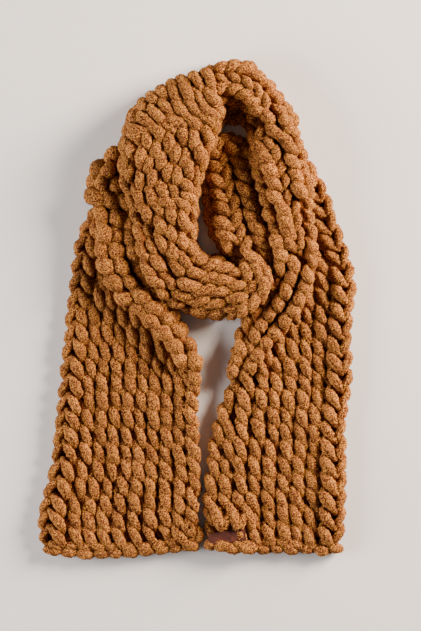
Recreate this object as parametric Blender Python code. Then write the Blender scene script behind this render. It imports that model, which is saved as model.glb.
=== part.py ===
"""Chunky chenille scarf, laid flat with one turn round the neck.

Scene units are metres, with +Z up, +Y towards the back of the neck and the origin on the
surface that the scarf lies on. The tables are in millimetres.

The scarf is one knitted band. It is followed here from the left hem to the right hem, and
each stretch of it that shows is one closed solid. On every stretch the outer edge is the one
on the left hand of somebody who walks along the band in that order.
"""

import math
from dataclasses import dataclass

import bmesh
import bpy
from mathutils import Vector
from mathutils.bvhtree import BVHTree
from mathutils.kdtree import KDTree

MM = 0.001

# Cloth, in millimetres. The tails are one layer, whose crown is their thickness.
RIB_DEPTH = 3.5
SEAM = 0.3
THINNEST = 4.0

# Loft, in millimetres unless it says otherwise
RING_STEP = 13.0
UNDER_STEP = 13.0
POINTS_PER_COLUMN = 3
SIDE_SHARE = 0.42
EDGE_INSET_SHARE = 0.3
SAMPLE_DIRECTIONS = 12
ABOVE_ALL = 200.0

# Chain edge at each hem, in millimetres unless it says otherwise
HEM_WIDTH = 15.0
HEM_HEIGHT = 16.0
HEM_LINKS = 12
HEM_RINGS_PER_LINK = 4
HEM_SIDES = 10
HEM_LOWEST_SIDES = (6, 7, 8)
HEM_WAIST = 0.2

# Label, in millimetres unless it says otherwise
LABEL_LENGTH = 48.0
LABEL_WIDTH = 15.0
LABEL_THICKNESS = 2.0
LABEL_TURN_DEGREES = 8.0
LABEL_X = 40.0
LABEL_Y = -294.0
LABEL_SAMPLES = 24
LABEL_STEPS = range(-LABEL_SAMPLES // 2, LABEL_SAMPLES // 2 + 1)

CARAMEL = (0.53, 0.22, 0.065)
KNIT_ROUGHNESS = 0.9
LEATHER = (0.15, 0.045, 0.022)
LEATHER_ROUGHNESS = 0.55


@dataclass(frozen=True)
class Section:
    """One line across a stretch: its two ends, its highest point and how far its middle bows ahead."""

    outer_x: float
    outer_y: float
    inner_x: float
    inner_y: float
    crown: float
    bow: float = 0.0

    def values(self):
        return (self.outer_x, self.outer_y, self.inner_x, self.inner_y, self.crown, self.bow)

    def outer(self):
        return Vector((self.outer_x, self.outer_y))

    def inner(self):
        return Vector((self.inner_x, self.inner_y))

    def width(self):
        return (self.inner() - self.outer()).length

    def ahead(self):
        """Unit vector along the band, square to this section."""
        line = (self.inner() - self.outer()).normalized()
        return Vector((-line.y, line.x))

    def point(self, share):
        """Point at this share of the width, from the outer edge."""
        straight = self.outer().lerp(self.inner(), share)
        return straight + self.ahead() * (self.bow * 4 * share * (1 - share))


@dataclass(frozen=True)
class Fold:
    """A ridge, or a trough where its height is negative, that runs along a stretch."""

    share: float
    half_width: float
    height_at_start: float
    height_at_end: float

    def height(self, share, progress):
        reach = (share - self.share) / self.half_width
        peak = self.height_at_start + (self.height_at_end - self.height_at_start) * progress
        return peak * math.exp(-reach * reach)


@dataclass(frozen=True)
class Stretch:
    """A stretch of the band: its sections, its stitch columns and how far each edge rounds off."""

    name: str
    columns: int
    outer_edge: float
    inner_edge: float
    sections: tuple
    folds: tuple = ()
    rests_on: tuple = ()


STRETCHES = (
    Stretch(
        name="left_tail",
        columns=12,
        outer_edge=9,
        inner_edge=9,
        sections=(
            Section(-203, -302, 3, -294, 18, -9.7),
            Section(-207, -270, 3, -267, 18, -4),
            Section(-202, -240, 5, -240, 18),
            Section(-192, -205, 5, -205, 18),
            Section(-187, -168, 3, -168, 18),
            Section(-184, -129, 3, -129, 18),
            Section(-180, -93, 2, -94, 18),
            Section(-177, -54, -16, -57, 18),
            Section(-174, -15, -36, -23, 18),
            Section(-168, 24, -59, 15, 19),
            Section(-163, 60, -75, 45, 19),
            Section(-157, 92, -85, 73, 20),
            Section(-146, 120, -90, 99, 20),
            Section(-133, 141, -94, 123, 19),
        ),
        folds=(
            Fold(share=0.93, half_width=0.05, height_at_start=6, height_at_end=1),
            Fold(share=0.83, half_width=0.03, height_at_start=-4, height_at_end=0),
            Fold(share=0.12, half_width=0.06, height_at_start=3, height_at_end=2),
        ),
    ),
    Stretch(
        name="right_tail",
        columns=12,
        outer_edge=9,
        inner_edge=12,
        sections=(
            Section(135, 209, 94, 185, 18),
            Section(150, 196, 99, 164, 20),
            Section(167, 170, 107, 136, 20),
            Section(179, 140, 116, 105, 20),
            Section(189, 110, 123, 76, 20),
            Section(200, 79, 123, 45, 20),
            Section(206, 46, 111, 16, 20),
            Section(207, 14, 93, -10, 20),
            Section(206, -23, 76, -36, 20),
            Section(205, -59, 59, -64, 19),
            Section(205, -94, 40, -97, 19),
            Section(201, -129, 25, -132, 19),
            Section(200, -166, 16, -168, 18),
            Section(197, -202, 12, -205, 18),
            Section(197, -237, 7, -239, 18),
            Section(198, -270, 6, -266, 18, 2),
            Section(194, -300, 11, -296, 18, 4),
        ),
        folds=(
            Fold(share=0.09, half_width=0.07, height_at_start=3, height_at_end=6),
            Fold(share=0.24, half_width=0.05, height_at_start=0, height_at_end=-4),
            Fold(share=0.74, half_width=0.09, height_at_start=7, height_at_end=1),
        ),
    ),
    Stretch(
        name="left_fold",
        columns=4,
        outer_edge=10,
        inner_edge=16,
        sections=(
            Section(-19, -98, 3, -93, 25),
            Section(-28, -67, 2, -63, 30),
            Section(-45, -41, -7, -36, 33),
            Section(-63, -20, -19, -14, 35),
            Section(-86, 3, -36, 7, 36),
            Section(-110, 27, -53, 28, 37),
            Section(-124, 55, -67, 53, 37),
            Section(-131, 86, -77, 79, 36),
            Section(-133, 115, -80, 105, 36),
            Section(-138, 144, -80, 133, 36),
            Section(-138, 170, -78, 158, 33),
            Section(-127, 192, -70, 179, 29),
            Section(-102, 209, -57, 190, 25),
        ),
        rests_on=("left_tail",),
    ),
    Stretch(
        name="under_layers",
        columns=5,
        outer_edge=16,
        inner_edge=14,
        sections=(
            Section(-102, 209, -57, 190, 25),
            Section(-76, 238, -46, 177, 25),
            Section(-40, 262, -31, 168, 25),
            Section(-6, 285, -14, 180, 24),
            Section(20, 292, 2, 209, 22),
            Section(42, 289, 33, 244, 20),
            Section(72, 281, 63, 246, 18),
        ),
    ),
    Stretch(
        name="inner_strand",
        columns=6,
        outer_edge=20,
        inner_edge=22,
        sections=(
            Section(30, 230, 5, 186, 20),
            Section(57, 222, 6, 172, 24),
            Section(72, 196, 4, 156, 27),
            Section(81, 164, 10, 134, 31),
            Section(89, 135, 14, 110, 35),
            Section(96, 105, 21, 94, 39),
            Section(99, 79, 34, 78, 43),
            Section(102, 55, 49, 65, 46),
        ),
    ),
    Stretch(
        name="right_strand",
        columns=4,
        outer_edge=13,
        inner_edge=24,
        sections=(
            Section(125, 258, 68, 227, 50),
            Section(137, 211, 72, 196, 52),
            Section(146, 170, 79, 163, 52),
            Section(151, 133, 86, 131, 51),
            Section(154, 94, 96, 102, 50),
            Section(155, 60, 102, 73, 46),
            Section(149, 27, 101, 42, 42),
            Section(135, -3, 88, 14, 38),
            Section(114, -23, 70, -10, 34),
            Section(97, -45, 57, -31, 31),
            Section(85, -67, 49, -54, 28),
            Section(70, -93, 44, -80, 24),
        ),
        rests_on=("right_tail", "inner_strand"),
    ),
    Stretch(
        name="top_arch",
        columns=4,
        outer_edge=22,
        inner_edge=13,
        sections=(
            Section(12, 313, 12, 268, 34),
            Section(28, 320, 25, 267, 45),
            Section(58, 323, 45, 267, 50),
            Section(86, 309, 60, 261, 51),
            Section(108, 283, 68, 246, 50),
            Section(125, 258, 68, 227, 50),
        ),
        rests_on=("under_layers",),
    ),
    Stretch(
        name="left_strand",
        columns=8,
        outer_edge=38,
        inner_edge=20,
        sections=(
            Section(-37, 10, 2, 79, 49),
            Section(-62, 36, -1, 93, 51),
            Section(-75, 73, 1, 115, 54),
            Section(-84, 122, 1, 140, 58),
            Section(-93, 151, 3, 164, 62),
            Section(-99, 174, 12, 189, 65),
            Section(-99, 192, 21, 214, 66),
            Section(-98, 210, 29, 237, 65),
            Section(-96, 228, 33, 262, 62, 2),
            Section(-92, 240, 29, 288, 57, 5),
            Section(-87, 247, 25, 307, 50, 7),
            Section(-84, 251, 23, 318, 40, 8),
        ),
        rests_on=("under_layers", "left_tail", "left_fold", "inner_strand", "top_arch"),
    ),
    Stretch(
        name="front_loop",
        columns=6,
        outer_edge=32,
        inner_edge=20,
        sections=(
            Section(102, 55, 49, 65, 46),
            Section(97, 25, 57, 55, 47),
            Section(76, -1, 54, 57, 48),
            Section(53, -10, 44, 63, 48),
            Section(20, -10, 27, 72, 47),
            Section(-9, -4, 11, 72, 47),
            Section(-37, 10, 2, 79, 49),
        ),
        rests_on=("right_tail", "right_strand", "left_tail", "left_fold"),
    ),
)


def blend(before, start, end, after, share):
    """Catmull-Rom spline from start to end."""
    tangent_in = (end - before) / 2
    tangent_out = (after - start) / 2
    squared = share * share
    cubed = squared * share
    return (
        start * (2 * cubed - 3 * squared + 1)
        + tangent_in * (cubed - 2 * squared + share)
        + end * (3 * squared - 2 * cubed)
        + tangent_out * (cubed - squared)
    )


def section_at(sections, place):
    """The section at a fractional row number of a table."""
    row = min(int(place), len(sections) - 2)
    rows = [max(row - 1, 0), row, row + 1, min(row + 2, len(sections) - 1)]
    columns = zip(*(sections[index].values() for index in rows))
    return Section(*(blend(*column, place - row) for column in columns))


def spread_sections(sections):
    """Sections about RING_STEP apart along the middle of a stretch."""
    found = []
    for row in range(len(sections) - 1):
        length = (sections[row + 1].point(0.5) - sections[row].point(0.5)).length
        count = max(1, round(length / RING_STEP))
        found += [section_at(sections, row + part / count) for part in range(count)]
    return found + [sections[-1]]


def moved_ahead(section, distance):
    shift = section.ahead() * distance
    return Section(
        section.outer_x + shift.x,
        section.outer_y + shift.y,
        section.inner_x + shift.x,
        section.inner_y + shift.y,
        section.crown,
        section.bow,
    )


def quarter_round(distance, radius):
    """0 on an edge, 1 from radius inwards, with a round shoulder between them."""
    short = 1 - min(distance / radius, 1)
    return math.sqrt(1 - short * short)


class Layer:
    """A finished solid that later ones may lie on, in millimetres."""

    def __init__(self, made):
        points = [made.matrix_world @ vertex.co / MM for vertex in made.data.vertices]
        self.surface = BVHTree.FromPolygons(points, [tuple(face.vertices) for face in made.data.polygons])
        self.heights = [point.z for point in points]
        self.plan = KDTree(len(points))
        for index, point in enumerate(points):
            self.plan.insert((point.x, point.y, 0), index)
        self.plan.balance()

    def height_at(self, place):
        hit = self.surface.ray_cast(Vector((place.x, place.y, ABOVE_ALL)), Vector((0, 0, -1)))[0]
        return hit.z if hit is not None else 0.0

    def height_near(self, place, reach):
        """Highest point within reach of a place, and 0 where there is none."""
        corners = self.plan.find_range((place.x, place.y, 0), reach)
        found = [self.heights[index] for _, index, _ in corners]
        for step in range(SAMPLE_DIRECTIONS):
            angle = math.tau * step / SAMPLE_DIRECTIONS
            found.append(self.height_at(place + Vector((math.cos(angle), math.sin(angle))) * reach))
        return max(self.height_at(place), *found)


def height_below(layers, place, reach):
    return max((layer.height_near(place, reach) for layer in layers), default=0.0)


class Loft:
    """Builds the closed solid of one stretch from rings of points."""

    def __init__(self, stretch, below):
        self.stretch = stretch
        self.below = below
        sections = spread_sections(stretch.sections)
        sections[0] = moved_ahead(sections[0], SEAM / 2)
        sections[-1] = moved_ahead(sections[-1], -SEAM / 2)
        self.sections = sections
        widest = max(section.width() for section in sections)
        self.under_count = max(2, math.ceil(widest / UNDER_STEP)) if below else 2

    def base(self, index, share):
        """Underside of the stretch: the floor, or just above the highest layer near this place."""
        if not self.below:
            return 0.0
        place = self.sections[index].point(share)
        others = (max(index - 1, 0), min(index + 1, len(self.sections) - 1))
        gaps = [(self.sections[other].point(share) - place).length for other in others]
        reach = max(*gaps, UNDER_STEP)
        height = height_below(self.below, place, reach)
        return height + SEAM if height > 0 else 0.0

    def top_point(self, index, share):
        section = self.sections[index]
        stretch = self.stretch
        base = self.base(index, share)
        progress = index / (len(self.sections) - 1)
        across = share * section.width()
        rounding = quarter_round(across, stretch.outer_edge)
        rounding *= quarter_round(section.width() - across, stretch.inner_edge)
        peak = section.crown + sum(fold.height(share, progress) for fold in stretch.folds)
        between_columns = abs(share * stretch.columns - round(share * stretch.columns)) < 0.1
        side = base + SIDE_SHARE * max(section.crown - base, THINNEST)
        height = side + (peak - side) * rounding
        if between_columns and 0 < share < 1:
            height -= RIB_DEPTH * rounding
        return (*section.point(share), max(height, base + THINNEST / 2))

    def under_point(self, index, part):
        section = self.sections[index]
        width = section.width()
        first = EDGE_INSET_SHARE * min(self.stretch.outer_edge, width / 2) / width
        last = 1 - EDGE_INSET_SHARE * min(self.stretch.inner_edge, width / 2) / width
        share = first + (last - first) * part / self.under_count
        return (*section.point(share), self.base(index, share))

    def ring(self, index):
        top_count = self.stretch.columns * POINTS_PER_COLUMN
        top = [self.top_point(index, step / top_count) for step in range(top_count + 1)]
        under = [self.under_point(index, part) for part in range(self.under_count + 1)]
        return top, under

    def mesh(self):
        shape = bmesh.new()
        rings = []
        for index in range(len(self.sections)):
            top, under = self.ring(index)
            top_verts = [shape.verts.new(Vector(point) * MM) for point in top]
            under_verts = [shape.verts.new(Vector(point) * MM) for point in under]
            rings.append((top_verts, under_verts))
        for (top, under), (next_top, next_under) in zip(rings, rings[1:]):
            loop = top + under[::-1]
            next_loop = next_top + next_under[::-1]
            for step in range(len(loop)):
                after = (step + 1) % len(loop)
                shape.faces.new((loop[step], loop[after], next_loop[after], next_loop[step]))
        close_end(shape, *rings[0])
        close_end(shape, *rings[-1])
        bmesh.ops.recalc_face_normals(shape, faces=shape.faces)
        return finished(shape, self.stretch.name)


def close_end(shape, top, under):
    """Closes one end with a strip of triangles between its upper and lower points."""
    upper, lower = 0, 0
    while upper < len(top) - 1 or lower < len(under) - 1:
        upper_share = (upper + 1) / (len(top) - 1)
        lower_share = (lower + 1) / (len(under) - 1)
        if upper < len(top) - 1 and (lower == len(under) - 1 or upper_share <= lower_share):
            shape.faces.new((top[upper], top[upper + 1], under[lower]))
            upper += 1
        else:
            shape.faces.new((under[lower], under[lower + 1], top[upper]))
            lower += 1


def finished(shape, name):
    mesh = bpy.data.meshes.new(name)
    shape.to_mesh(mesh)
    shape.free()
    return mesh


def hem_ring(section, share, full, out):
    """Points round the chain edge at this share of an end of the band, in millimetres."""
    ahead = section.ahead()
    centre = section.point(share) + ahead * (out * (HEM_WIDTH / 2 + SEAM))
    highest_side = math.sin(math.tau / 4 - math.pi / HEM_SIDES)
    points = []
    for side in range(HEM_SIDES):
        angle = math.tau * (side + 0.5) / HEM_SIDES
        place = centre + ahead * (HEM_WIDTH / 2 * full * math.cos(angle))
        height = HEM_HEIGHT / 2 * (1 + full * math.sin(angle) / highest_side)
        points.append((*place, 0.0 if side in HEM_LOWEST_SIDES else height))
    return points


def hem_mesh(name, section, out):
    """Chain edge along an end of the band: a flat-bottomed bar with a waist between its links."""
    shape = bmesh.new()
    rings = []
    count = HEM_LINKS * HEM_RINGS_PER_LINK
    for index in range(count + 1):
        phase = math.tau * index / HEM_RINGS_PER_LINK
        full = 1 - HEM_WAIST * (1 + math.cos(phase)) / 2
        ring = hem_ring(section, index / count, full, out)
        rings.append([shape.verts.new(Vector(point) * MM) for point in ring])
    for ring, following in zip(rings, rings[1:]):
        for side in range(HEM_SIDES):
            after = (side + 1) % HEM_SIDES
            shape.faces.new((ring[side], ring[after], following[after], following[side]))
    shape.faces.new(rings[0])
    shape.faces.new(rings[-1])
    bmesh.ops.recalc_face_normals(shape, faces=shape.faces)
    return finished(shape, name)


def material(name, colour, roughness):
    made = bpy.data.materials.new(name)
    made.use_nodes = True
    surface = made.node_tree.nodes["Principled BSDF"]
    surface.inputs["Base Color"].default_value = (*colour, 1)
    surface.inputs["Roughness"].default_value = roughness
    surface.inputs["Metallic"].default_value = 0
    made.diffuse_color = (*colour, 1)
    return made


def add_object(mesh, colour, roughness):
    made = bpy.data.objects.new(mesh.name, mesh)
    made.data.materials.append(material(mesh.name, colour, roughness))
    bpy.context.scene.collection.objects.link(made)
    return made


def add_label(below):
    """Plain leather label on the right tail, close to its hem."""
    centre = Vector((LABEL_X, LABEL_Y))
    lengthways = Vector((1, math.tan(math.radians(LABEL_TURN_DEGREES)))).normalized()
    places = [centre + lengthways * (LABEL_LENGTH * step / LABEL_SAMPLES) for step in LABEL_STEPS]
    base = max(height_below(below, place, LABEL_WIDTH / 2) for place in places) + SEAM
    shape = bmesh.new()
    bmesh.ops.create_cube(shape, size=1)
    for vertex in shape.verts:
        vertex.co.x *= LABEL_LENGTH * MM
        vertex.co.y *= LABEL_WIDTH * MM
        vertex.co.z *= LABEL_THICKNESS * MM
    made = add_object(finished(shape, "label"), LEATHER, LEATHER_ROUGHNESS)
    made.location = Vector((LABEL_X, LABEL_Y, base + LABEL_THICKNESS / 2)) * MM
    made.rotation_euler.z = math.radians(LABEL_TURN_DEGREES)
    return made


def main():
    for old in list(bpy.data.objects):
        bpy.data.objects.remove(old, do_unlink=True)
    layers = {}
    for stretch in STRETCHES:
        below = [layers[name] for name in stretch.rests_on]
        made = add_object(Loft(stretch, below).mesh(), CARAMEL, KNIT_ROUGHNESS)
        layers[stretch.name] = Layer(made)
    ends = {stretch.name: stretch.sections for stretch in STRETCHES}
    left_hem = hem_mesh("left_hem", ends["left_tail"][0], -1)
    add_object(left_hem, CARAMEL, KNIT_ROUGHNESS)
    right_hem = hem_mesh("right_hem", ends["right_tail"][-1], 1)
    right_hem = add_object(right_hem, CARAMEL, KNIT_ROUGHNESS)
    add_label([layers["right_tail"], Layer(right_hem)])


main()
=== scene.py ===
"""Chunky chenille scarf, laid flat with one turn round the neck: yarn, backing cloth, hems and label.

Tables and stitch sizes are in millimetres, and every mesh is in metres with +Z up. The scarf is
one knitted band, followed from the left hem to the right hem. On each stretch of it the outer
edge is the one on the left hand of somebody who walks along the band in that order.
"""

import logging
import math
from collections.abc import Callable
from dataclasses import astuple, dataclass
from enum import Enum
from functools import partial

import bpy
import numpy as np
from bpy.types import Material, Node, NodeSocket, NodeTree, Object
from mathutils import Matrix, Vector
from mathutils.bvhtree import BVHTree


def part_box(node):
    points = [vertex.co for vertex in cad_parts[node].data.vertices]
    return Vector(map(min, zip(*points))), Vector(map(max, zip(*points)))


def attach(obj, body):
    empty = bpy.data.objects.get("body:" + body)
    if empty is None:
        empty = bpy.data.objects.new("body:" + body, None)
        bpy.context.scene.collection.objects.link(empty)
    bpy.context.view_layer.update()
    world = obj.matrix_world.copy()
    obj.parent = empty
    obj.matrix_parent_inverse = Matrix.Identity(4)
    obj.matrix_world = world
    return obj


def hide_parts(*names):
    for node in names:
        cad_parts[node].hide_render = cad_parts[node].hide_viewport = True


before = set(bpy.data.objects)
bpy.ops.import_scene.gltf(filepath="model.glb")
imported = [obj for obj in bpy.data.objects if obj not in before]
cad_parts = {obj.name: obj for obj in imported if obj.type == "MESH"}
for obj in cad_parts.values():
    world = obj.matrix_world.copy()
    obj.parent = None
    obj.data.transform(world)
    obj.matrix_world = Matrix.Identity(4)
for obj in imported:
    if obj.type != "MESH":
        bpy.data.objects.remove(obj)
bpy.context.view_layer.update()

Array = np.ndarray

LOG = logging.getLogger("scarf")

MM = 0.001
BODY = "root"

# The solids: how high their widest line lies between underside and crown, and the least height
# that it is counted from. Their underside is looked for from far below.
SIDE_SHARE = 0.42
THINNEST = 4.0
FAR_BELOW = -50.0

# The cloth, in millimetres
YARN_RADIUS = 5.7
CLOTH_HALF = 9.0  # half its thickness
LEAST_EDGE = 5.0  # least roundness of an edge
EDGE_FLUFF = 1.2  # pile beyond the yarn on an edge
PILE_ROOM = 1.5  # pile under yarn that lies on the floor
FOOT_SINK = 1.0  # how far the lowest yarn sinks into what is under it
FOOT_GAP = 0.01
EDGE_INSET = 6.5  # from an edge to the middle of its column
BACKING_INSET = 2.0
COURSE = 22.5  # height of a row of stitches
STATION_STEP = 6.0
ACROSS_SAMPLES = 49

# An end that turns down to what is under it: its reach in millimetres and its steps in degrees
END_ROUND = 6.0
END_STEPS = (30, 60, 90)

# Shares of a width or of a step
WIDEST_MARGIN = 0.4
OVERSHOOT = 0.2
LEAST_PITCH = 0.62
SPREAD_OVER = 2

YARN_SEED = 11
UPRIGHT = (0.0, 0.0, 1.0)
LEAST_LENGTH = 1e-9
NOISE_MIDDLE = 0.5


@dataclass(frozen=True)
class Section:
    """A line across a stretch: its two ends, its highest point and how far its middle bows ahead."""

    outer_x: float
    outer_y: float
    inner_x: float
    inner_y: float
    crown: float
    bow: float = 0.0


def sections_of(*rows: tuple) -> tuple:
    """Sections from rows of their numbers."""
    return tuple(Section(*row) for row in rows)


@dataclass(frozen=True)
class Fold:
    """A ridge that runs along a stretch, or a trough where its height is negative.

    share is its place, from 0 on the outer edge to 1 on the inner one, and half_width is a share
    of the width too.
    """

    share: float
    half_width: float
    height_at_start: float
    height_at_end: float

    def height(self, share: Array, progress: float) -> Array:
        """Heights at shares of the width from the outer edge, part of the way along the stretch."""
        peak = self.height_at_start + (self.height_at_end - self.height_at_start) * progress
        return peak * np.exp(-(((share - self.share) / self.half_width) ** 2))


class CountFrom(Enum):
    """Where the stitch columns of a stretch are counted from."""

    OUTER_EDGE = "outer edge"
    INNER_EDGE = "inner edge"


class Stitch(Enum):
    """How a stitch looks from the front, as the points of its yarn.

    A point is its place across, in stitch widths from the column's middle, its place along, in
    stitch heights from the foot, its lift in millimetres off the cloth's middle surface, and the
    yarn's fullness there, where 1 is its usual one.
    """

    # The front leg climbs from its foot up to the left and crosses in front. Its shoulder shows
    # between the next row's legs, and the rest of the loop runs behind to the stitch on the right.
    OPEN = (
        (0.32, -0.06, -1.2, 0.80), (0.21, 0.16, 1.4, 0.98), (0.00, 0.52, 3.0, 1.12),
        (-0.22, 0.88, 1.8, 1.04), (-0.36, 1.10, 0.0, 0.90), (-0.43, 1.32, -0.6, 0.88),
        (-0.30, 1.58, -3.4, 0.74), (0.10, 1.30, -5.6, 0.70), (0.70, 0.40, -5.6, 0.70),
        (1.10, -0.02, -4.6, 0.72),
    )
    # Pulled tight: only the fat front legs show, and their thin ends lie side by side as in a rope.
    ROPE = (
        (0.34, -0.16, -2.4, 0.66), (0.26, 0.06, 1.0, 0.88), (0.12, 0.30, 2.6, 1.08),
        (0.00, 0.52, 3.0, 1.17), (-0.12, 0.74, 2.6, 1.10), (-0.28, 1.00, 1.0, 0.90),
        (-0.38, 1.22, -2.0, 0.70), (-0.10, 1.24, -5.6, 0.62), (0.50, 0.60, -5.8, 0.60),
        (1.00, 0.06, -5.6, 0.60),
    )
    # Both legs show, one of them fatter, and meet at the stitch's far end, so that a column of
    # them looks like a braid.
    BRAID = (
        (-0.30, 1.12, -5.0, 0.70), (-0.18, 0.84, 0.6, 0.84), (-0.34, 0.48, 2.0, 0.94),
        (-0.42, 0.14, 0.6, 0.86), (-0.30, -0.16, -4.0, 0.70), (0.36, -0.22, -4.0, 0.72),
        (0.44, 0.08, 1.0, 0.98), (0.27, 0.46, 3.4, 1.20), (0.08, 0.82, 1.8, 1.02),
        (-0.04, 1.12, -3.2, 0.74),
    )


class End(Enum):
    """An end of a stretch."""

    START = "start"
    FINISH = "finish"


@dataclass(frozen=True)
class Stretch:
    """A stretch of the band that shows, with its solid's name, its sections, folds and stitches.

    edges is how round the outer and the inner edge are, and insets is how far in their columns
    lie. The columns have their pitch at the start and at the end, or they fill the width over the
    shares of the length that even gives.
    """

    name: str
    columns: int
    edges: tuple
    sections: tuple
    count_from: CountFrom = CountFrom.INNER_EDGE
    pitch: tuple = ()
    even: tuple = ()
    folds: tuple = ()
    rests_on: tuple = ()
    course: float = COURSE
    radius: float = YARN_RADIUS
    looseness: float = 1.0
    lean: float = 1.0
    closed: tuple = ()
    braids: tuple = ()
    plumpness: float = 1.0
    depth: float = 1.0
    insets: tuple = (EDGE_INSET, EDGE_INSET)
    foot_sink: float = FOOT_SINK
    stitch: Stitch = Stitch.ROPE


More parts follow.
